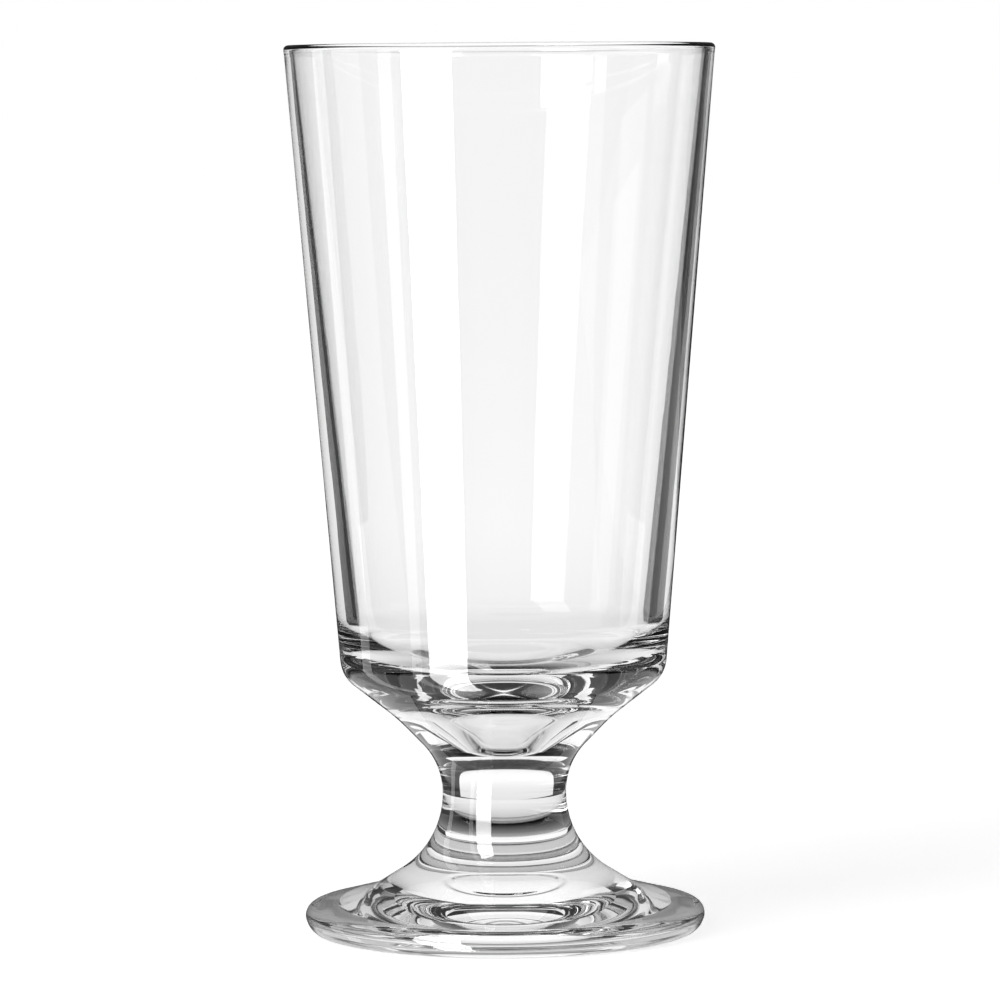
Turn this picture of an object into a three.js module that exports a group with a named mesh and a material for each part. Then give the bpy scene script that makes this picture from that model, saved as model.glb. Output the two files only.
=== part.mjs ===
// Footed highball glass: a tapered bowl, a short waisted stem and a round foot, all of clear pressed glass.
// Millimetres, +Z up. The origin is the centre of the ring that the glass stands on.

import * as THREE from "three";

// Bowl: heights are counted from its lower face, which is joined to the stem.
const BOWL_HEIGHT = 118.7;
const RIM_DIAMETER = 73; // over the lip
const HEEL_DIAMETER = 55; // outside corner below the tapered wall, before it is rounded
const HEEL_RISE = 12; // height of that corner
const HEEL_ROUND = 5.6;
const SWEEP_DIAMETER = 36.6; // where the underside bends from the stem's flare towards the heel
const SWEEP_RISE = 4.8;
const SWEEP_ROUND = 30;
const FLOOR_RISE = 10; // height of the sloping inner floor, carried on to the axis
const FLOOR_SLOPE = THREE.MathUtils.degToRad(7.5);
const FLOOR_ROUND = 11.5; // corner between the inner floor and the inner wall
const WELL_RISE = 1.5; // thickness of glass under the well in the middle of the inner floor
const WELL_TIP_DIAMETER = 9.6; // rounded tip of the well
const WELL_SLOPE = THREE.MathUtils.degToRad(48.5); // flank of the well
const WELL_ROUND = 7.5; // mouth of the well
const HEEL_WALL = 3.6; // wall thickness at the heel
const NECK_WALL = 1.6; // wall thickness just below the lip
const LIP_THICKNESS = 1.7; // fire-polished bead, fully rounded
const LIP_PROUD = 0.25; // how far the bead stands out beyond the wall below it
const LIP_DROP = 1.8; // height of the bead
const LIP_ROUND = 3; // blend of the bead into the wall

// Stem: its narrowest section is the waist, and the flares above and below it are arcs.
const WAIST_DIAMETER = 21;
const WAIST_TO_BOWL = 8.2;
const WAIST_TO_FOOT = 12.9;
const BOWL_JOINT_DIAMETER = 27.3;
const FOOT_JOINT_DIAMETER = 34.6;

// Foot
const FOOT_HEIGHT = 10.8; // from the table to the stem joint
const SHOULDER_DIAMETER = 45.8; // where the stem's flare turns into the low top of the foot
const SHOULDER_RISE = 7.3;
const SHOULDER_ROUND = 13.7;
const FOOT_DIAMETER = 69.4; // over the corner of the edge, before it is rounded
const EDGE_RISE = 4.3; // height of that corner
const EDGE_ROUND = 2;
const STANDING_DIAMETER = 65.8; // lower corner of the edge, before it is rounded
const STANDING_ROUND = 2.8;
const HOLLOW_DIAMETER = 54; // mouth of the shallow hollow inside the standing ring
const HOLLOW_DEPTH = 2.2;

// Facets
const TURN_FACETS = 64; // facets round the axis
const ARC_STEP = THREE.MathUtils.degToRad(11); // turn of an arc from one point to the next
const ARC_FEWEST_STEPS = 3;
const SAME_POINT = 0.001; // points nearer than this are one point

const GLASS_COLOUR = 0xf1f4f4;
const GLASS_ROUGHNESS = 0.04;

/** A point of an outline: distance from the axis and height. */
function point(radius, height) {
  return new THREE.Vector2(radius, height);
}

/** The points of the arc that leaves start along heading and arrives at end. */
function tangentArc(start, heading, end) {
  const chord = end.clone().sub(start);
  const across = point(-heading.y, heading.x);
  const radius = chord.lengthSq() / (2 * chord.dot(across));
  const centre = start.clone().addScaledVector(across, radius);
  const sweep = 2 * Math.atan2(heading.cross(chord), heading.dot(chord));
  const steps = Math.max(ARC_FEWEST_STEPS, Math.ceil(Math.abs(sweep) / ARC_STEP));
  return Array.from({ length: steps + 1 }, (_, i) =>
    start.clone().rotateAround(centre, (sweep * i) / steps),
  );
}

/** A corner of an outline with the radius that rounds it off. */
function corner(radius, height, round = 0) {
  return { at: point(radius, height), round };
}

/** How far from each corner its rounding would start, given room. */
function setbacks(corners) {
  return corners.map(({ at, round }, i) => {
    if (round === 0) return 0;
    const back = corners[i - 1].at.clone().sub(at);
    const onward = corners[i + 1].at.clone().sub(at);
    return round / Math.tan(back.angleTo(onward) / 2);
  });
}

/** The outline through a row of corners. Two roundings share a side that is too short for both. */
function roundedOutline(corners) {
  const wanted = setbacks(corners);
  return corners.flatMap(({ at, round }, i) => {
    if (round === 0) return [at];
    const back = corners[i - 1].at.clone().sub(at);
    const onward = corners[i + 1].at.clone().sub(at);
    const backRoom = Math.max(back.length() / 2, back.length() - wanted[i - 1]);
    const onwardRoom = Math.max(onward.length() / 2, onward.length() - wanted[i + 1]);
    const setback = Math.min(wanted[i], backRoom, onwardRoom);
    const heading = back.clone().normalize().negate();
    const start = at.clone().add(back.setLength(setback));
    const end = at.clone().add(onward.setLength(setback));
    return tangentArc(start, heading, end);
  });
}

/** A named solid turned about the axis from an outline that starts and ends on it. */
function turned(name, outline) {
  const distinct = outline.filter(
    (p, i) => i === 0 || p.distanceTo(outline[i - 1]) > SAME_POINT,
  );
  const geometry = new THREE.LatheGeometry(distinct, TURN_FACETS);
  geometry.rotateX(Math.PI / 2);
  const material = new THREE.MeshStandardMaterial({
    color: GLASS_COLOUR,
    roughness: GLASS_ROUGHNESS,
    metalness: 0,
  });
  const mesh = new THREE.Mesh(geometry, material);
  mesh.name = name;
  return mesh;
}

/** The foot: a hollow underside, a standing ring, a rounded edge and a low top that rises to the stem. */
function makeFoot() {
  const crown = point(0, HOLLOW_DEPTH);
  const level = point(1, 0);
  const hollow = tangentArc(crown, level, point(HOLLOW_DIAMETER / 2, 0));
  const outside = roundedOutline([
    corner(HOLLOW_DIAMETER / 2, 0),
    corner(STANDING_DIAMETER / 2, 0, STANDING_ROUND),
    corner(FOOT_DIAMETER / 2, EDGE_RISE, EDGE_ROUND),
    corner(SHOULDER_DIAMETER / 2, SHOULDER_RISE, SHOULDER_ROUND),
    corner(FOOT_JOINT_DIAMETER / 2, FOOT_HEIGHT),
    corner(0, FOOT_HEIGHT),
  ]);
  return turned("foot", [...hollow, ...outside]);
}

/** The stem: a solid spool, from its joint with the foot up to its joint with the bowl. */
function makeStem() {
  const height = WAIST_TO_FOOT + WAIST_TO_BOWL;
  const waist = point(WAIST_DIAMETER / 2, WAIST_TO_FOOT);
  const lowerFlare = tangentArc(waist, point(0, -1), point(FOOT_JOINT_DIAMETER / 2, 0));
  const upperFlare = tangentArc(waist, point(0, 1), point(BOWL_JOINT_DIAMETER / 2, height));
  const side = [...lowerFlare.reverse(), ...upperFlare];
  return turned("stem", [point(0, 0), ...side, point(0, height)]);
}

/** The bowl: a tapered tumbler whose wall thins towards a beaded lip, on a solid heel. */
function makeBowl() {
  const rim = RIM_DIAMETER / 2;
  const heel = HEEL_DIAMETER / 2;
  const neckRise = BOWL_HEIGHT - LIP_DROP;
  const neckOutside = rim - LIP_PROUD;
  const neckInside = neckOutside - NECK_WALL;
  const heelInside = heel - HEEL_WALL;
  const innerTaper = (neckInside - heelInside) / (neckRise - HEEL_RISE);
  const floorGrade = Math.tan(FLOOR_SLOPE);
  const wellGrade = Math.tan(WELL_SLOPE);
  const wallAtFloor = heelInside + innerTaper * (FLOOR_RISE - HEEL_RISE);
  const floorEdge = wallAtFloor / (1 - innerTaper * floorGrade);
  const tipRadius = WELL_TIP_DIAMETER / 2;
  const tipEdge = point(tipRadius, WELL_RISE + tipRadius * Math.tan(WELL_SLOPE / 2));
  const tip = tangentArc(point(0, WELL_RISE), point(1, 0), tipEdge);
  const mouth = (FLOOR_RISE - tipEdge.y + wellGrade * tipRadius) / (wellGrade - floorGrade);
  const outline = roundedOutline([
    corner(0, 0),
    corner(BOWL_JOINT_DIAMETER / 2, 0),
    corner(SWEEP_DIAMETER / 2, SWEEP_RISE, SWEEP_ROUND),
    corner(heel, HEEL_RISE, HEEL_ROUND),
    corner(neckOutside, neckRise, LIP_ROUND),
    corner(rim, BOWL_HEIGHT, LIP_THICKNESS / 2),
    corner(rim - LIP_THICKNESS, BOWL_HEIGHT, LIP_THICKNESS / 2),
    corner(neckInside, neckRise, LIP_ROUND),
    corner(floorEdge, FLOOR_RISE + floorGrade * floorEdge, FLOOR_ROUND),
    corner(mouth, FLOOR_RISE + floorGrade * mouth, WELL_ROUND),
    corner(tipEdge.x, tipEdge.y),
  ]);
  return turned("bowl", [...outline, ...tip.reverse()]);
}

const foot = makeFoot();
const stem = makeStem();
stem.position.z = FOOT_HEIGHT;
const bowl = makeBowl();
bowl.position.z = FOOT_HEIGHT + WAIST_TO_FOOT + WAIST_TO_BOWL;

const glass = new THREE.Group();
glass.add(foot, stem, bowl);

export default glass;
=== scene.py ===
"""Dresses the footed highball glass: smooth clear glass on a white table, under soft studio light.

Metres, +Z up, in the frame of the solids.
"""

import logging
import math
from abc import ABC, abstractmethod
from dataclasses import dataclass
from enum import Enum

import bpy
from mathutils import Matrix, Vector


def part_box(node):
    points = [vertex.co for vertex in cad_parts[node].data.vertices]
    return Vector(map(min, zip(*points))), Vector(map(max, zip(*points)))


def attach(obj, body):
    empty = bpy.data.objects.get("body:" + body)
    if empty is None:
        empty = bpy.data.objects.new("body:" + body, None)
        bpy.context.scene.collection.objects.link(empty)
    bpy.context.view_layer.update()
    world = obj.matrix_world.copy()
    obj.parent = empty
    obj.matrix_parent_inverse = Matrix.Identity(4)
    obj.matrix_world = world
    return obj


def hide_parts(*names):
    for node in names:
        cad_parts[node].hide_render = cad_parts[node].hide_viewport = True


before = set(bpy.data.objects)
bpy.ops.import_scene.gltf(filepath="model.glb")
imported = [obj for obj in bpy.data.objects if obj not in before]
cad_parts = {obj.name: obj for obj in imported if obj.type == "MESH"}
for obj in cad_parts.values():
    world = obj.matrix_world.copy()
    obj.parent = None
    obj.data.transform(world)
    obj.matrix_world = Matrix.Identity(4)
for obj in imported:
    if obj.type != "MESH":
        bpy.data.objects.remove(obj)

LOG = logging.getLogger("footed_highball")
BODY = "root"
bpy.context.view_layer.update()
ON_AXIS = 0.0
TURN_FACETS = 288
BOWL_JOINT_DIAMETER = 0.0273
FOOT_JOINT_DIAMETER = 0.0346
WHITE = (1.0, 1.0, 1.0, 1.0)
BLACK = (0.0, 0.0, 0.0, 1.0)


class Rays(Enum):
    """The kinds of rays that can meet a piece of studio gear."""

    CAMERA = "visible_camera"
    DIFFUSE = "visible_diffuse"
    GLOSSY = "visible_glossy"
    TRANSMISSION = "visible_transmission"
    SHADOW = "visible_shadow"


@dataclass(frozen=True)
class Corner:
    """A corner of an outline, with the radius that rounds it off."""

    radius: float
    height: float
    rounding: float = 0.0

    @property
    def at(self) -> Vector:
        """The corner as a point: distance from the axis and height."""
        return Vector((self.radius, self.height))


@dataclass(frozen=True)
class Outliner:
    """Turns corners and arcs into the points of a smooth outline.

    The collar is a short step beside a seam, so that the surface keeps its slope up to the seam.
    """

    arc_step: float = math.radians(1.5)
    straight: float = math.radians(179.8)
    fewest_steps: int = 6
    same_point: float = 1e-7
    collar: float = 2e-5

    def arc(self, start: Vector, heading: Vector, end: Vector) -> list[Vector]:
        """Points of the arc that leaves start along heading and arrives at end.

        Args:
            start: First point of the arc.
            heading: Unit direction of the arc at its start.
            end: Last point of the arc.

        Returns:
            The points from start to end, both included.
        """
        chord = end - start
        across = Vector((-heading.y, heading.x))
        radius = chord.length_squared / (2.0 * chord.dot(across))
        centre = start + across * radius
        turn = heading.x * chord.y - heading.y * chord.x
        sweep = 2.0 * math.atan2(turn, heading.dot(chord))
        steps = max(self.fewest_steps, math.ceil(abs(sweep) / self.arc_step))
        spoke = start - centre
        return [centre + Matrix.Rotation(sweep * i / steps, 2) @ spoke for i in range(steps + 1)]

    def rounded(self, corners: list[Corner]) -> list[Vector]:
        """The outline through a row of corners. Two roundings share a side that is too short for both.

        Args:
            corners: The corners in order; the first and the last aren't rounded.

        Returns:
            The points of the outline.
        """
        wanted = [self._setback(corners, i) for i in range(len(corners))]
        points: list[Vector] = []
        for i, corner in enumerate(corners):
            if wanted[i] == 0.0:
                points.append(corner.at)
                continue
            back = corners[i - 1].at - corner.at
            onward = corners[i + 1].at - corner.at
            setback = min(
                wanted[i],
                max(back.length / 2.0, back.length - wanted[i - 1]),
                max(onward.length / 2.0, onward.length - wanted[i + 1]),
            )
            start = corner.at + back.normalized() * setback
            end = corner.at + onward.normalized() * setback
            points += self.arc(start, -back.normalized(), end)
        return points

    def _setback(self, corners: list[Corner], i: int) -> float:
        """How far from a corner its rounding starts, where there is room for it.

        Args:
            corners: The corners of the outline.
            i: Which of them.

        Returns:
            The distance, which is 0 for a sharp or a straight corner.
        """
        if corners[i].rounding == 0.0:
            return 0.0
        bend = (corners[i - 1].at - corners[i].at).angle(corners[i + 1].at - corners[i].at)
        return 0.0 if bend > self.straight else corners[i].rounding / math.tan(bend / 2.0)

    def with_collars(self, points: list[Vector], seams: tuple[float, ...]) -> list[Vector]:
        """Drops repeated points and adds a collar where the outline meets a seam.

        Args:
            points: The outline.
            seams: Heights of the flat joints at which the outline has a corner.

        Returns:
            The outline with its collars.
        """
        kept: list[Vector] = []
        for point in points:
            if not kept or (point - kept[-1]).length > self.same_point:
                kept.append(point)
        made: list[Vector] = []
        for i, point in enumerate(kept):
            at_seam = any(abs(point.y - seam) < self.same_point for seam in seams)
            on_edge = at_seam and point.x > self.collar
            before = kept[i - 1] if i > 0 else point
            after = kept[i + 1] if i + 1 < len(kept) else point
            if on_edge and abs(before.y - point.y) > self.same_point:
                made.append(point + (before - point).normalized() * self.collar)
            made.append(point)
            if on_edge and abs(after.y - point.y) > self.same_point:
                made.append(point + (after - point).normalized() * self.collar)
        return made


class NodeBench:
    """Short ways to add and link nodes in one tree."""

    def __init__(self, tree: bpy.types.NodeTree) -> None:
        """Works on the given tree."""
        self.tree = tree

    def add(self, kind: str, **settings: object) -> bpy.types.Node:
        """Adds a node.

        Args:
            kind: Blender's type name of the node.
            settings: Properties of the node to set.

        Returns:
            The new node.
        """
        node = self.tree.nodes.new(kind)
        for name, value in settings.items():
            setattr(node, name, value)
        return node

    def join(self, source: bpy.types.NodeSocket, target: bpy.types.NodeSocket) -> None:
        """Links an output to an input."""
        self.tree.links.new(source, target)

    def math(self, operation: str, *values: object) -> bpy.types.NodeSocket:
        """A Math node fed by sockets or plain numbers.

        Args:
            operation: Name of the operation.
            values: A socket or a number for each input.

        Returns:
            The result's socket.
        """
        node = self.add("ShaderNodeMath", operation=operation)
        self.feed(node, values)
        return node.outputs[0]

    def fade(
        self, value: bpy.types.NodeSocket, over: tuple[float, float], to: tuple[float, float],
    ) -> bpy.types.NodeSocket:
        """A soft change from one number to another while a value rises.

        Args:
            value: The value that rises.
            over: Where the change starts and ends.
            to: The numbers before and after it.

        Returns:
            The result's socket.
        """
        node = self.add("ShaderNodeMapRange", interpolation_type="SMOOTHSTEP")
        self.feed(node, (value, *over, *to))
        return node.outputs["Result"]

    def distance_from_axis_foot(self) -> bpy.types.NodeSocket:
        """Adds nodes for the distance from the object's origin, which is the foot of the axis.

        Returns:
            The distance's socket.
        """
        away = self.add("ShaderNodeVectorMath", operation="LENGTH")
        self.join(self.add("ShaderNodeTexCoord").outputs["Object"], away.inputs[0])
        return away.outputs["Value"]

    def feed(self, node: bpy.types.Node, values: tuple[object, ...]) -> None:
        """Links or sets the first inputs of a node in order.

        Args:
            node: The node to feed.
            values: A socket or a plain value for each input.
        """
        for socket, value in zip(node.inputs, values):
            if isinstance(value, bpy.types.NodeSocket):
                self.join(value, socket)
            else:
                socket.default_value = value


class Lathe:
    """A node tree that turns an outline about the axis into a smooth closed solid."""

    WELD = 1e-7
    SHARP = math.radians(50.0)
    SEAM_TOLERANCE = 1e-6

    def __init__(self, facets: int) -> None:
        """Builds the tree.

        Args:
            facets: Facets round the axis.
        """
        self.facets = facets
        self.tree = bpy.data.node_groups.new("turned_on_the_lathe", "GeometryNodeTree")
        self.tree.interface.new_socket("Outline", in_out="INPUT", socket_type="NodeSocketGeometry")
        self.sockets = {
            "Facets": self._input("Facets", "NodeSocketInt"),
            "Glass": self._input("Glass", "NodeSocketMaterial"),
            "Seam": self._input("Seam", "NodeSocketMaterial"),
            "Lower seam": self._input("Lower seam", "NodeSocketFloat"),
            "Upper seam": self._input("Upper seam", "NodeSocketFloat"),
        }
        self.tree.interface.new_socket("Solid", in_out="OUTPUT", socket_type="NodeSocketGeometry")
        self._wire(NodeBench(self.tree))

    def _input(self, name: str, kind: str) -> str:
        """Adds a named input and returns its identifier."""
        return self.tree.interface.new_socket(name, in_out="INPUT", socket_type=kind).identifier

    def _wire(self, bench: NodeBench) -> None:
        """Wires the tree, from the outline to the finished solid.

        Args:
            bench: The bench of the tree.
        """
        given = bench.add("NodeGroupInput").outputs
        solid = self._finish(bench, given, self._shade(bench, self._wrap(bench, given)))
        bench.join(solid, bench.add("NodeGroupOutput").inputs["Solid"])

    def _wrap(self, bench: NodeBench, given: bpy.types.NodeOutputs) -> bpy.types.NodeSocket:
        """Adds a grid that takes its radii and heights from the outline and wraps round the axis.

        Args:
            bench: The bench of the tree.
            given: The tree's inputs.

        Returns:
            The wrapped grid's socket.
        """
        columns = self._whole(bench, "ADD", given["Facets"], 1)
        size = bench.add("GeometryNodeAttributeDomainSize", component="MESH")
        bench.join(given["Outline"], size.inputs[0])
        grid = bench.add("GeometryNodeMeshGrid")
        bench.join(size.outputs["Point Count"], grid.inputs["Vertices X"])
        bench.join(columns, grid.inputs["Vertices Y"])
        index = bench.add("GeometryNodeInputIndex").outputs[0]
        row = self._whole(bench, "DIVIDE_FLOOR", index, columns)
        column = self._whole(bench, "MODULO", index, columns)

        sample = bench.add("GeometryNodeSampleIndex", data_type="FLOAT_VECTOR", domain="POINT")
        bench.join(given["Outline"], sample.inputs["Geometry"])
        bench.join(bench.add("GeometryNodeInputPosition").outputs[0], sample.inputs["Value"])
        bench.join(row, sample.inputs["Index"])
        angle = bench.math("MULTIPLY", bench.math("DIVIDE", column, given["Facets"]), 2.0 * math.pi)
        wrap = bench.add("ShaderNodeVectorRotate", rotation_type="Z_AXIS")
        bench.join(sample.outputs[0], wrap.inputs["Vector"])
        bench.join(angle, wrap.inputs["Angle"])
        place = bench.add("GeometryNodeSetPosition")
        bench.join(grid.outputs["Mesh"], place.inputs["Geometry"])
        bench.join(wrap.outputs[0], place.inputs["Position"])
        return place.outputs[0]

    def _shade(self, bench: NodeBench, wrapped: bpy.types.NodeSocket) -> bpy.types.NodeSocket:
        """Closes the grid, turns its faces outwards and shades it smooth up to its creases.

        Args:
            bench: The bench of the tree.
            wrapped: The wrapped grid's socket.

        Returns:
            The shaded solid's socket.
        """
        weld = bench.add("GeometryNodeMergeByDistance")
        weld.inputs["Distance"].default_value = self.WELD
        bench.join(wrapped, weld.inputs["Geometry"])
        outward = bench.add("GeometryNodeFlipFaces")
        bench.join(weld.outputs[0], outward.inputs["Mesh"])
        smooth = bench.add("GeometryNodeSetShadeSmooth", domain="FACE")
        bench.join(outward.outputs[0], smooth.inputs["Geometry"])
        bend = bench.add("GeometryNodeInputMeshEdgeAngle").outputs["Unsigned Angle"]
        crease = bench.add("GeometryNodeSetShadeSmooth", domain="EDGE")
        crease.inputs["Shade Smooth"].default_value = False
        bench.join(bench.math("GREATER_THAN", bend, self.SHARP), crease.inputs["Selection"])
        bench.join(smooth.outputs[0], crease.inputs["Geometry"])
        return crease.outputs[0]

    def _finish(
        self, bench: NodeBench, given: bpy.types.NodeOutputs, shaded: bpy.types.NodeSocket,
    ) -> bpy.types.NodeSocket:
        """Gives the solid its glass, and the joint faces the finish of a seam.

        Args:
            bench: The bench of the tree.
            given: The tree's inputs.
            shaded: The shaded solid's socket.

        Returns:
            The finished solid's socket.
        """
        whole = bench.add("GeometryNodeRealizeInstances")
        bench.join(shaded, whole.inputs["Geometry"])
        glass = bench.add("GeometryNodeSetMaterial")
        bench.join(whole.outputs[0], glass.inputs["Geometry"])
        bench.join(given["Glass"], glass.inputs["Material"])
        seam = bench.add("GeometryNodeSetMaterial")
        bench.join(glass.outputs[0], seam.inputs["Geometry"])
        bench.join(self._on_a_seam(bench, given), seam.inputs["Selection"])
        bench.join(given["Seam"], seam.inputs["Material"])
        return seam.outputs[0]

    def _whole(self, bench: NodeBench, operation: str, *values: object) -> bpy.types.NodeSocket:
        """An Integer Math node fed by sockets or whole numbers.

        Args:
            bench: The bench of the tree.
            operation: Name of the operation.
            values: A socket or a number for each input.

        Returns:
            The result's socket.
        """
        node = bench.add("FunctionNodeIntegerMath", operation=operation)
        bench.feed(node, values)
        return node.outputs[0]

    def _on_a_seam(self, bench: NodeBench, given: bpy.types.NodeOutputs) -> bpy.types.NodeSocket:
        """Picks the faces that lie in one of the two seams.

        Args:
            bench: The bench of the tree.
            given: The tree's inputs.

        Returns:
            A socket that is 1 on those faces and 0 elsewhere.
        """
        split = bench.add("ShaderNodeSeparateXYZ")
        bench.join(bench.add("GeometryNodeInputPosition").outputs[0], split.inputs[0])
        near = [
            bench.math("COMPARE", split.outputs["Z"], given[name], self.SEAM_TOLERANCE)
            for name in ("Lower seam", "Upper seam")
        ]
        return bench.math("MAXIMUM", *near)

    def turn(
        self, name: str, points: list[Vector], seams: tuple[float, float],
        glass: bpy.types.Material, seam: bpy.types.Material,
    ) -> bpy.types.Object:
        """Turns an outline into a plain mesh object.

        Args:
            name: Name of the new piece.
            points: The outline, from the axis and back to it.
            seams: Heights of the lower and the upper joint.
            glass: Finish of the outer surface.
            seam: Finish of the joint faces.

        Returns:
            The piece, at the origin, with no modifier left on it.
        """
        chain = bpy.data.meshes.new(name + "_outline")
        edges = [(i, i + 1) for i in range(len(points) - 1)]
        chain.from_pydata([(p.x, 0.0, p.y) for p in points], edges, [])
        blank = bpy.data.objects.new(name + "_blank", chain)
        bpy.context.scene.collection.objects.link(blank)
        modifier = blank.modifiers.new("Lathe", "NODES")
        modifier.node_group = self.tree
        modifier[self.sockets["Facets"]] = self.facets
        modifier[self.sockets["Glass"]] = glass
        modifier[self.sockets["Seam"]] = seam
        modifier[self.sockets["Lower seam"]] = seams[0]
        modifier[self.sockets["Upper seam"]] = seams[1]
        graph = bpy.context.evaluated_depsgraph_get()
        mesh = bpy.data.meshes.new_from_object(blank.evaluated_get(graph), depsgraph=graph)
        bpy.data.objects.remove(blank)
        mesh.name = name
        mesh.materials.pop(index=0)
        piece = bpy.data.objects.new(name, mesh)
        bpy.context.scene.collection.objects.link(piece)
        return piece


@dataclass(frozen=True)
class PressedGlass:
    """Colourless fire-polished glass, with the faint ripple and haze that a mould leaves."""

    name: str = "pressed_glass"
    colour: tuple[float, float, float, float] = WHITE
    ior: float = 1.5
    haze_scale: float = 90.0
    clearest: float = 0.0
    haziest: float = 0.006
    ripple_scale: float = 38.0
    ripple_height: float = 0.00004

    def material(self) -> bpy.types.Material:
        """Makes the finish.

        Returns:
            The new material.
        """
        made = bpy.data.materials.new(self.name)
        made.use_nodes = True
        bench = NodeBench(made.node_tree)
        shader = made.node_tree.nodes["Principled BSDF"]
        shader.inputs["Base Color"].default_value = self.colour
        shader.inputs["IOR"].default_value = self.ior
        shader.inputs["Transmission Weight"].default_value = 1.0
        place = bench.add("ShaderNodeTexCoord").outputs["Object"]

        haze = bench.add("ShaderNodeTexNoise")
        haze.inputs["Scale"].default_value = self.haze_scale
        bench.join(place, haze.inputs["Vector"])
        spread = bench.add("ShaderNodeMapRange")
        spread.inputs["To Min"].default_value = self.clearest
        spread.inputs["To Max"].default_value = self.haziest
        bench.join(haze.outputs[0], spread.inputs["Value"])
        bench.join(spread.outputs["Result"], shader.inputs["Roughness"])

        ripple = bench.add("ShaderNodeTexNoise")
        ripple.inputs["Scale"].default_value = self.ripple_scale
        bench.join(place, ripple.inputs["Vector"])
        bump = bench.add("ShaderNodeBump")
        bump.inputs["Distance"].default_value = self.ripple_height
        bench.join(ripple.outputs[0], bump.inputs["Height"])
        bench.join(bump.outputs[0], shader.inputs["Normal"])
        return made


@dataclass(frozen=True)
class FusedSeam:
    """The plane where two hot pieces were fused: it lets light straight through, as solid glass does."""

    name: str = "fused_seam"

    def material(self) -> bpy.types.Material:
        """Makes the finish.

        Returns:
            The new material.
        """
        made = bpy.data.materials.new(self.name)
        made.use_nodes = True
        shader = made.node_tree.nodes["Principled BSDF"]
        shader.inputs["Alpha"].default_value = 0.0
        return made


@dataclass
class TurnedPiece(ABC):
    """A piece of the glass that is turned about the axis and stands for one node of the frame."""

    node: str

    @property
    def bottom(self) -> float:
        """Height of the piece's lowest point."""
        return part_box(self.node)[0].z

    @property
    def top(self) -> float:
        """Height of the piece's highest point."""
        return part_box(self.node)[1].z

    @abstractmethod
    def outline(self, outliner: Outliner) -> list[Vector]:
        """The outline that is turned.

        Args:
            outliner: The maker of smooth outlines.

        Returns:
            The points, from the axis and back to it.
        """

    @abstractmethod
    def seams(self) -> tuple[float, float]:
        """Heights of the piece's fused joints, lower and upper; a piece with one joint gives it twice."""

    def build(
        self, lathe: Lathe, outliner: Outliner, glass: bpy.types.Material, seam: bpy.types.Material,
    ) -> bpy.types.Object:
        """Makes the piece's mesh, which just fits the box of its node.

        Args:
            lathe: The tree that turns outlines.
            outliner: The maker of smooth outlines.
            glass: Finish of the outer surface.
            seam: Finish of the joint faces.

        Returns:
            The new object.
        """
        points = outliner.with_collars(self.outline(outliner), self.seams())
        widest = max(point.x for point in points)
        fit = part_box(self.node)[1].x / widest
        points = [Vector((point.x * fit, point.y)) for point in points]
        return lathe.turn(self.node + "_glass", points, self.seams(), glass, seam)

    def dress(self, piece: bpy.types.Object) -> None:
        """Puts the piece in the place of its node and ties it to the frame.

        Args:
            piece: The object that build made.
        """
        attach(piece, BODY)
        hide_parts(self.node)
        LOG.info("%s: %d faces", piece.name, len(piece.data.polygons))


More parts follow.
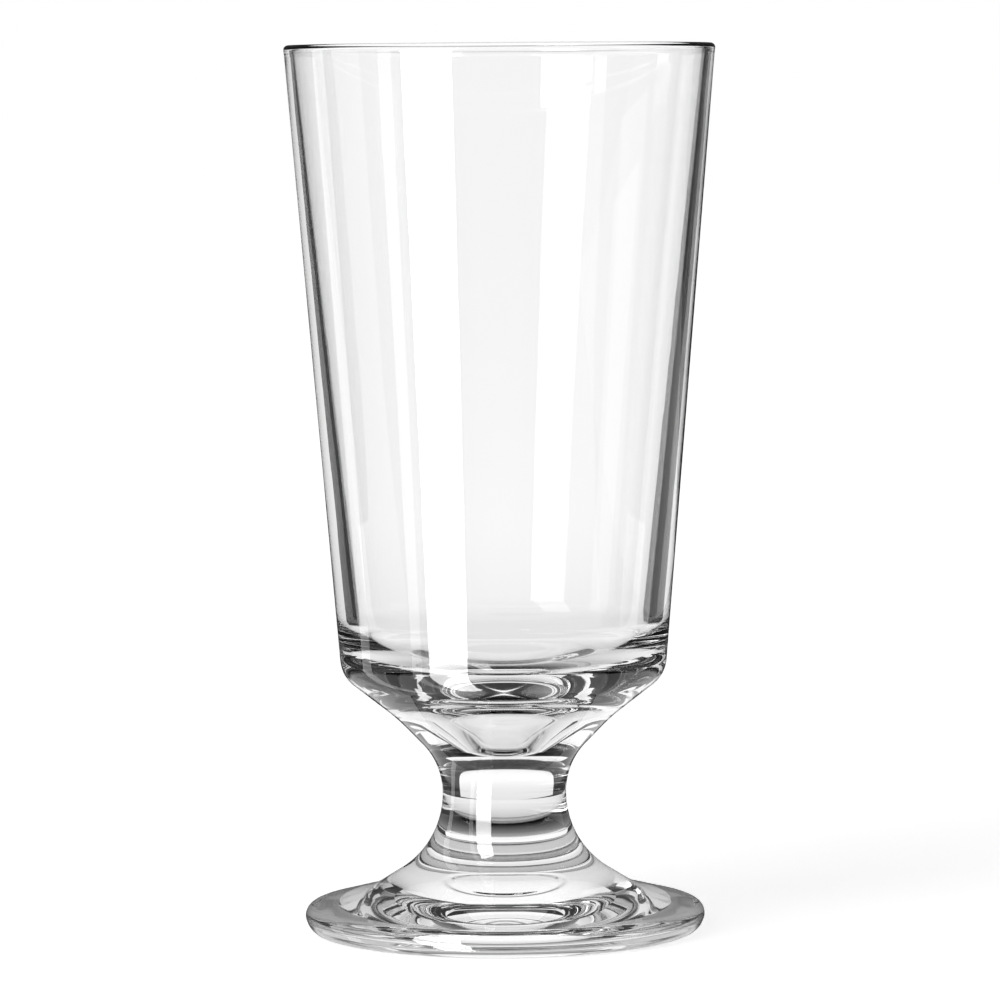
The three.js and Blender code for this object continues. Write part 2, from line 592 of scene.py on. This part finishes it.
@dataclass
class Bowl(TurnedPiece):
    """The tapered tumbler with a beaded lip. Rises are counted from its joint with the stem."""

    node: str = "bowl"
    rim_diameter: float = 0.073
    heel_diameter: float = 0.055
    heel_rise: float = 0.012
    heel_round: float = 0.0056
    joint_diameter: float = BOWL_JOINT_DIAMETER
    sweep_diameter: float = 0.0366
    sweep_rise: float = 0.0048
    sweep_round: float = 0.030
    floor_rise: float = 0.010
    floor_slope: float = math.radians(7.5)
    floor_round: float = 0.0115
    well_rise: float = 0.0015
    well_tip: float = 0.0096
    well_slope: float = math.radians(48.5)
    well_round: float = 0.0075
    heel_wall: float = 0.0036
    neck_wall: float = 0.0016
    lip_thickness: float = 0.0017
    lip_proud: float = 0.00025
    lip_drop: float = 0.0018
    lip_round: float = 0.003

    def outline(self, outliner: Outliner) -> list[Vector]:
        """The outline from the joint up the outside, over the lip and down to the inner floor.

        Args:
            outliner: The maker of smooth outlines.

        Returns:
            The points, from the axis and back to it.
        """
        rim = self.rim_diameter / 2.0
        heel = self.heel_diameter / 2.0
        neck_rise = self.top - self.bottom - self.lip_drop
        neck_outside = rim - self.lip_proud
        neck_inside = neck_outside - self.neck_wall
        heel_inside = heel - self.heel_wall
        taper = (neck_inside - heel_inside) / (neck_rise - self.heel_rise)
        floor_grade = math.tan(self.floor_slope)
        well_grade = math.tan(self.well_slope)
        deepest = Vector((ON_AXIS, self.well_rise))
        tip_edge = deepest + Vector((1.0, math.tan(self.well_slope / 2.0))) * self.well_tip / 2.0
        mouth = (self.floor_rise - tip_edge.y + well_grade * tip_edge.x) / (well_grade - floor_grade)
        wall_at_floor = heel_inside + taper * (self.floor_rise - self.heel_rise)
        floor_edge = wall_at_floor / (1.0 - taper * floor_grade)
        corners = [
            Corner(ON_AXIS, 0.0),
            Corner(self.joint_diameter / 2.0, 0.0),
            Corner(self.sweep_diameter / 2.0, self.sweep_rise, self.sweep_round),
            Corner(heel, self.heel_rise, self.heel_round),
            Corner(neck_outside, neck_rise, self.lip_round),
            Corner(rim, self.top - self.bottom, self.lip_thickness / 2.0),
            Corner(rim - self.lip_thickness, self.top - self.bottom, self.lip_thickness / 2.0),
            Corner(neck_inside, neck_rise, self.lip_round),
            Corner(floor_edge, self.floor_rise + floor_grade * floor_edge, self.floor_round),
            Corner(mouth, self.floor_rise + floor_grade * mouth, self.well_round),
            Corner(tip_edge.x, tip_edge.y),
        ]
        tip = outliner.arc(deepest, Vector((1.0, 0.0)), tip_edge)
        lift = Vector((0.0, self.bottom))
        return [point + lift for point in (*outliner.rounded(corners), *reversed(tip))]

    def seams(self) -> tuple[float, float]:
        """The bowl is fused to the stem at its lower face."""
        return self.bottom, self.bottom


@dataclass
class Stem(TurnedPiece):
    """The solid waisted neck. Its flares are arcs that leave the waist upright."""

    node: str = "stem"
    waist_diameter: float = 0.021
    waist_to_foot: float = 0.0129
    bowl_joint_diameter: float = BOWL_JOINT_DIAMETER
    foot_joint_diameter: float = FOOT_JOINT_DIAMETER

    def outline(self, outliner: Outliner) -> list[Vector]:
        """The outline from the foot joint, past the waist, to the bowl joint.

        Args:
            outliner: The maker of smooth outlines.

        Returns:
            The points, from the axis and back to it.
        """
        waist = Vector((self.waist_diameter / 2.0, self.bottom + self.waist_to_foot))
        foot_edge = Vector((self.foot_joint_diameter / 2.0, self.bottom))
        bowl_edge = Vector((self.bowl_joint_diameter / 2.0, self.top))
        lower_flare = outliner.arc(waist, Vector((0.0, -1.0)), foot_edge)
        upper_flare = outliner.arc(waist, Vector((0.0, 1.0)), bowl_edge)
        start = Vector((ON_AXIS, self.bottom))
        end = Vector((ON_AXIS, self.top))
        return [start, *reversed(lower_flare), *upper_flare, end]

    def seams(self) -> tuple[float, float]:
        """The stem is fused at both ends."""
        return self.bottom, self.top


@dataclass
class Foot(TurnedPiece):
    """The round foot with its low top, rounded edge, standing ring and hollow underside."""

    node: str = "foot"
    joint_diameter: float = FOOT_JOINT_DIAMETER
    shoulder_diameter: float = 0.0458
    shoulder_rise: float = 0.0073
    shoulder_round: float = 0.0137
    foot_diameter: float = 0.0694
    edge_rise: float = 0.0043
    edge_round: float = 0.002
    standing_diameter: float = 0.0658
    standing_round: float = 0.0028
    hollow_diameter: float = 0.054
    hollow_depth: float = 0.0022
    hollow_steps: int = 90
    mark_diameter: float = 0.0145
    mark_width: float = 0.0022
    mark_height: float = 0.00016

    def outline(self, outliner: Outliner) -> list[Vector]:
        """The outline from the crown of the hollow, round the edge, to the stem joint.

        Args:
            outliner: The maker of smooth outlines.

        Returns:
            The points, from the axis and back to it.
        """
        ring = Vector((self.hollow_diameter / 2.0, 0.0))
        hollow = [self._underside(ring.x * i / self.hollow_steps) for i in range(self.hollow_steps + 1)]
        outside = outliner.rounded([
            Corner(ring.x, ring.y),
            Corner(self.standing_diameter / 2.0, 0.0, self.standing_round),
            Corner(self.foot_diameter / 2.0, self.edge_rise, self.edge_round),
            Corner(self.shoulder_diameter / 2.0, self.shoulder_rise, self.shoulder_round),
            Corner(self.joint_diameter / 2.0, self.top),
            Corner(ON_AXIS, self.top),
        ])
        return [*hollow, *outside]

    def _underside(self, radius: float) -> Vector:
        """A point of the hollow underside: an arc, with the fine ring that the mould's valve leaves.

        Args:
            radius: Distance from the axis.

        Returns:
            The point.
        """
        mouth = self.hollow_diameter / 2.0
        sphere = (mouth ** 2 + self.hollow_depth ** 2) / (2.0 * self.hollow_depth)
        height = math.sqrt(sphere ** 2 - radius ** 2) - sphere + self.hollow_depth
        across = abs(radius - self.mark_diameter / 2.0) / (self.mark_width / 2.0)
        mark = self.mark_height * math.cos(min(across, 1.0) * math.pi / 2.0) ** 2
        return Vector((radius, height - mark))

    def seams(self) -> tuple[float, float]:
        """The foot is fused to the stem at its upper face."""
        return self.top, self.top


@dataclass(frozen=True)
class FloorWhite:
    """The white of the floor: it glows a little, so that it stays white far from the lamps."""

    name: str = "floor_white"
    colour: tuple[float, float, float, float] = (0.8, 0.8, 0.8, 1.0)
    near: float = 0.03
    near_glow: float = 0.72
    far: float = 1.2
    far_glow: float = 1.0

    def material(self) -> bpy.types.Material:
        """Makes the finish.

        Returns:
            The new material.
        """
        made = bpy.data.materials.new(self.name)
        made.use_nodes = True
        bench = NodeBench(made.node_tree)
        shader = made.node_tree.nodes["Principled BSDF"]
        shader.inputs["Base Color"].default_value = self.colour
        shader.inputs["Roughness"].default_value = 1.0
        shader.inputs["Specular IOR Level"].default_value = 0.0
        shader.inputs["Emission Color"].default_value = WHITE
        away = bench.distance_from_axis_foot()
        glow = bench.fade(away, (self.near, self.far), (self.near_glow, self.far_glow))
        bench.join(glow, shader.inputs["Emission Strength"])
        return made


def glowing_face(name: str) -> tuple[bpy.types.Material, bpy.types.Node]:
    """Makes a finish that reflects nothing and only glows white.

    Args:
        name: Name of the finish.

    Returns:
        The finish, and its shader, which still needs a strength for its glow.
    """
    made = bpy.data.materials.new(name)
    made.use_nodes = True
    shader = made.node_tree.nodes["Principled BSDF"]
    shader.inputs["Base Color"].default_value = BLACK
    shader.inputs["Specular IOR Level"].default_value = 0.0
    shader.inputs["Emission Color"].default_value = WHITE
    return made, shader


@dataclass(frozen=True)
class SheetWhitePaintedShadow:
    """The white that shows through the glass, with a painted shadow: its glow darkens under the foot,
    where little light gets in.
    """

    name: str = "sheet_white_painted_shadow"
    half_bright: float = 0.03
    darkest: float = 0.08

    def material(self) -> bpy.types.Material:
        """Makes the finish.

        Returns:
            The new material.
        """
        made, shader = glowing_face(self.name)
        bench = NodeBench(made.node_tree)
        # Painted shadow: the glow fades to nothing towards the axis, under the foot.
        square = bench.math("POWER", bench.distance_from_axis_foot(), 2.0)
        share = bench.math("DIVIDE", square, bench.math("ADD", square, self.half_bright ** 2))
        glow = bench.add("ShaderNodeMapRange")
        bench.feed(glow, (share, self.darkest, 1.0, 0.0, 1.0))
        bench.join(glow.outputs["Result"], shader.inputs["Emission Strength"])
        return made


@dataclass(frozen=True)
class BackdropWhite:
    """The white of the sheet behind the glass, which is dimmer near the table."""

    name: str = "backdrop_white"
    low: float = 0.015
    low_glow: float = 0.86
    high: float = 0.06
    high_glow: float = 1.06

    def material(self) -> bpy.types.Material:
        """Makes the finish.

        Returns:
            The new material.
        """
        made, shader = glowing_face(self.name)
        bench = NodeBench(made.node_tree)
        split = bench.add("ShaderNodeSeparateXYZ")
        bench.join(bench.add("ShaderNodeTexCoord").outputs["Object"], split.inputs[0])
        rising = bench.fade(split.outputs["Z"], (self.low, self.high), (self.low_glow, self.high_glow))
        bench.join(rising, shader.inputs["Emission Strength"])
        return made


@dataclass(frozen=True)
class EvenWhite:
    """The white of a card or a lamp's face, which glows evenly."""

    name: str
    glow: float

    def material(self) -> bpy.types.Material:
        """Makes the finish.

        Returns:
            The new material.
        """
        made, shader = glowing_face(self.name)
        shader.inputs["Emission Strength"].default_value = self.glow
        return made


def standing_frame(bearing: float, distance: float, height: float) -> Matrix:
    """The frame of upright gear that faces the axis: X along its width, Y up, and -Z towards the axis.

    Args:
        bearing: Direction from the glass, in degrees; 0 is the camera's side, 90 is +X.
        distance: Distance from the axis.
        height: Height of the middle.

    Returns:
        The matrix of the gear.
    """
    turn = math.radians(bearing)
    away = Vector((math.sin(turn), -math.cos(turn), 0.0))
    up = Vector((0.0, 0.0, 1.0))
    side = up.cross(away)
    made = Matrix((side, up, away)).transposed().to_4x4()
    made.translation = away * distance + up * height
    return made


@dataclass(frozen=True)
class Lamp:
    """A tall soft box that stands round the glass and faces its axis.

    The bearing is in degrees: 0 is the camera's side, 90 is +X. A mirrored lamp shows in the glass.
    """

    name: str
    bearing: float
    width: float
    radiance: float
    mirrored: bool = True
    distance: float = 0.8
    low: float = -1.7
    high: float = 1.6

    def build(self) -> bpy.types.Object:
        """Makes the lamp.

        Returns:
            The new object.
        """
        light = bpy.data.lights.new(self.name, "AREA")
        light.shape = "RECTANGLE"
        light.size = self.width
        light.size_y = self.high - self.low
        light.energy = math.pi * light.size * light.size_y * self.radiance
        lamp = bpy.data.objects.new(self.name, light)
        lamp.matrix_world = standing_frame(self.bearing, self.distance, (self.low + self.high) / 2.0)
        lamp.visible_transmission = False
        lamp.visible_glossy = self.mirrored
        bpy.context.scene.collection.objects.link(lamp)
        return lamp


def studio_gear(
    name: str, points: list[tuple[float, float, float]], faces: list[tuple[int, ...]],
    finish: bpy.types.Material, seen: Rays,
) -> bpy.types.Object:
    """Makes a piece of studio gear that only one kind of rays meets.

    Args:
        name: Name of the gear.
        points: Its points.
        faces: Its faces.
        finish: Its material.
        seen: The rays that meet it.

    Returns:
        The new object.
    """
    mesh = bpy.data.meshes.new(name)
    mesh.from_pydata(points, [], faces)
    mesh.materials.append(finish)
    gear = bpy.data.objects.new(name, mesh)
    bpy.context.scene.collection.objects.link(gear)
    for rays in Rays:
        setattr(gear, rays.value, rays is seen)
    return gear


@dataclass(frozen=True)
class Sheet:
    """A sheet that stands round the glass, facing its axis.

    The bearing is in degrees: 0 is the camera's side, 90 is +X. The lean is the sideways shift per height.
    The sheet also lies on the table, from the strip's distance to its own; without a strip, that part has
    no length.
    """

    name: str
    bearing: float
    left: float
    right: float
    distance: float
    high: float
    low: float = -0.0002
    lean: float = 0.0
    strip: float | None = None

    def build(self, finish: bpy.types.Material, seen: Rays = Rays.TRANSMISSION) -> bpy.types.Object:
        """Makes the sheet.

        Args:
            finish: Its material.
            seen: The kind of rays that meet it.

        Returns:
            The new object.
        """
        start = self.distance if self.strip is None else self.strip
        rows = ((start, self.low), (self.distance, self.low), (self.distance, self.high))
        points = [
            (side + self.lean * up, -away, up) for away, up in rows for side in (self.left, self.right)
        ]
        sheet = studio_gear(self.name, points, [(0, 1, 3, 2), (2, 3, 5, 4)], finish, seen)
        sheet.rotation_euler.z = math.radians(self.bearing)
        return sheet


@dataclass(frozen=True)
class Studio:
    """The white floor, the gear that shows in the glass, the lamps and the room.

    The back sheet's edges are angles at the axis, seen from the foot. The main lamp's face glows more in
    the glass than the lamp lights it, so the face is a sheet of its own. The room's slopes are the heights
    of unit directions between which it turns from white, below the table, to dim.
    """

    facets: int = 96
    floor_radius: float = 4.0
    plate_radius: float = 0.12
    back_distance: float = 0.12
    back_right: float = math.radians(31.0)
    back_left: float = math.radians(37.0)
    back_top: float = math.radians(59.0)
    left_sheet: Sheet = Sheet(
        "left_sheet", bearing=270.0, left=-0.07, right=0.07, distance=0.4, high=0.17, strip=0.11,
    )
    front_sheet: Sheet = Sheet(
        "front_sheet", bearing=45.0, left=-0.1, right=0.1, distance=0.4, high=0.07, strip=0.11,
    )
    right_card: Sheet = Sheet(
        "right_card", bearing=98.0, left=-0.022, right=0.022, distance=0.13, high=0.045,
    )
    right_card_white: EvenWhite = EvenWhite("right_card_white", 0.75)
    left_card: Sheet = Sheet(
        "left_card", bearing=258.0, left=-0.016, right=0.016, distance=0.13, high=0.045,
    )
    left_card_white: EvenWhite = EvenWhite("left_card_white", 1.0)
    glint: Sheet = Sheet(
        "glint", bearing=-32.0, left=-0.2, right=0.2, distance=0.8, high=0.45, low=0.03, lean=-0.6,
    )
    glint_white: EvenWhite = EvenWhite("glint_white", 2.5)
    right_side: Sheet = Sheet(
        "right_side", bearing=104.0, left=-0.5, right=0.5, distance=1.2, high=0.25, strip=0.3,
    )
    side_white: EvenWhite = EvenWhite("side_white", 0.5)
    main_lamp: Lamp = Lamp("main_softbox", bearing=-39.0, width=0.4, radiance=2.5, mirrored=False)
    main_face_white: EvenWhite = EvenWhite("softbox_white", 16.0)
    strip_lamp: Lamp = Lamp("strip_softbox", bearing=-63.0, width=0.11, radiance=2.2)
    rim_lamp: Lamp = Lamp("rim_softbox", bearing=-112.0, width=0.15, radiance=1.8)
    overhead_size: float = 1.2
    overhead_height: float = 1.4
    overhead_power: float = 4.0
    room_glow: float = 0.04
    room_slopes: tuple[float, float] = (-0.33, -0.26)

    def build(self) -> None:
        """Makes everything in the studio."""
        self._floor()
        self._seen_through_the_glass()
        self._mirrored_in_the_glass()
        self._lamps()
        self._room()

    def _circle(self, radius: float) -> list[tuple[float, float, float]]:
        """Points of a circle on the floor.

        Args:
            radius: Radius of the circle.

        Returns:
            The points in order.
        """
        turn = 2.0 * math.pi / self.facets
        return [
            (radius * math.cos(turn * i), radius * math.sin(turn * i), 0.0) for i in range(self.facets)
        ]

    def _floor(self) -> None:
        """The floor, which the camera sees with the shadow of the glass on it."""
        mesh = bpy.data.meshes.new("floor")
        mesh.from_pydata(self._circle(self.floor_radius), [], [tuple(range(self.facets))])
        mesh.materials.append(FloorWhite().material())
        floor = bpy.data.objects.new("floor", mesh)
        bpy.context.scene.collection.objects.link(floor)
        floor.visible_glossy = False
        floor.visible_transmission = False

    def _back_sheet(self) -> Sheet:
        """The sheet behind the glass, which goes on from the plate.

        Returns:
            The sheet, still to be built.
        """
        return Sheet(
            "back_sheet",
            bearing=180.0,
            left=-self.back_distance * math.tan(self.back_right),
            right=self.back_distance * math.tan(self.back_left),
            distance=self.back_distance,
            high=self.back_distance * math.tan(self.back_top),
        )

    def _seen_through_the_glass(self) -> None:
        """The white plate under the glass with its painted shadow, the sheets and cards round it, and the
        main lamp's glint.
        """
        white = SheetWhitePaintedShadow().material()
        disc = [tuple(range(self.facets))]
        studio_gear("plate", self._circle(self.plate_radius), disc, white, Rays.TRANSMISSION)
        self._back_sheet().build(BackdropWhite().material())
        self.left_sheet.build(white)
        self.front_sheet.build(white)
        self.right_card.build(self.right_card_white.material())
        self.left_card.build(self.left_card_white.material())
        self.glint.build(self.glint_white.material())

    def _mirrored_in_the_glass(self) -> None:
        """The white side of the room on the right, and the face of the main lamp."""
        self.right_side.build(self.side_white.material(), Rays.GLOSSY)
        lamp = self.main_lamp
        half = lamp.width / 2.0
        face = Sheet("softbox_face", lamp.bearing, -half, half, lamp.distance, lamp.high, lamp.low)
        face.build(self.main_face_white.material(), Rays.GLOSSY)

    def _lamps(self) -> None:
        """Tall soft boxes on the left, and a large one overhead for the table."""
        for tall in (self.main_lamp, self.strip_lamp, self.rim_lamp):
            tall.build()
        light = bpy.data.lights.new("overhead_softbox", "AREA")
        light.size = self.overhead_size
        light.energy = self.overhead_power
        lamp = bpy.data.objects.new("overhead_softbox", light)
        lamp.location.z = self.overhead_height
        lamp.visible_glossy = False
        lamp.visible_transmission = False
        bpy.context.scene.collection.objects.link(lamp)

    def _room(self) -> None:
        """The room: white for the camera and below the table, and dim everywhere else."""
        world = bpy.data.worlds.new("room")
        world.use_nodes = True
        bpy.context.scene.world = world
        bench = NodeBench(world.node_tree)
        backdrop = world.node_tree.nodes["Background"]
        split = bench.add("ShaderNodeSeparateXYZ")
        bench.join(bench.add("ShaderNodeTexCoord").outputs["Generated"], split.inputs[0])
        below = bench.fade(split.outputs["Z"], self.room_slopes, (1.0, self.room_glow))
        rays = bench.add("ShaderNodeLightPath")
        white = bench.math("MAXIMUM", rays.outputs["Is Camera Ray"], below)
        backdrop.inputs["Color"].default_value = WHITE
        bench.join(white, backdrop.inputs["Strength"])


@dataclass(frozen=True)
class PhotoCamera:
    """The camera, at the photograph's distance, height and framing."""

    distance: float = 1.055
    height: float = 0.1594
    aim_height: float = 0.0735
    aim_side: float = -0.0004
    focal_pixels: float = 6246.0
    frame_pixels: float = 1000.0
    roll: float = math.radians(0.4)
    nearest: float = 0.05
    farthest: float = 50.0

    def build(self) -> None:
        """Makes the camera and hands it to the scene."""
        data = bpy.data.cameras.new("photo_camera")
        data.sensor_fit = "HORIZONTAL"
        data.angle = 2.0 * math.atan(self.frame_pixels / 2.0 / self.focal_pixels)
        data.clip_start = self.nearest
        data.clip_end = self.farthest
        camera = bpy.data.objects.new("photo_camera", data)
        place = Vector((self.aim_side, -self.distance, self.height))
        look = Vector((self.aim_side, 0.0, self.aim_height)) - place
        turn = look.to_track_quat("-Z", "Y").to_matrix() @ Matrix.Rotation(-self.roll, 3, "Z")
        camera.matrix_world = Matrix.Translation(place) @ turn.to_4x4()
        bpy.context.scene.collection.objects.link(camera)
        bpy.context.scene.camera = camera


@dataclass(frozen=True)
class GlassLight:
    """How far light is followed through the thick glass, and how colours are shown."""

    bounces: int = 32
    through_glass: int = 28
    inside_glass: int = 24

    def apply(self) -> None:
        """Sets the scene's light paths and its view."""
        scene = bpy.context.scene
        scene.view_settings.view_transform = "Standard"
        scene.cycles.max_bounces = self.bounces
        scene.cycles.transmission_bounces = self.through_glass
        scene.cycles.glossy_bounces = self.inside_glass


def main() -> None:
    """Builds the glass and its studio."""
    logging.basicConfig(level=logging.INFO, format="%(message)s")
    GlassLight().apply()
    PhotoCamera().build()
    Studio().build()
    outliner = Outliner()
    lathe = Lathe(TURN_FACETS)
    glass = PressedGlass().material()
    seam = FusedSeam().material()
    for part in (Foot(), Stem(), Bowl()):
        part.dress(part.build(lathe, outliner, glass, seam))


if __name__ == "__main__":
    main()
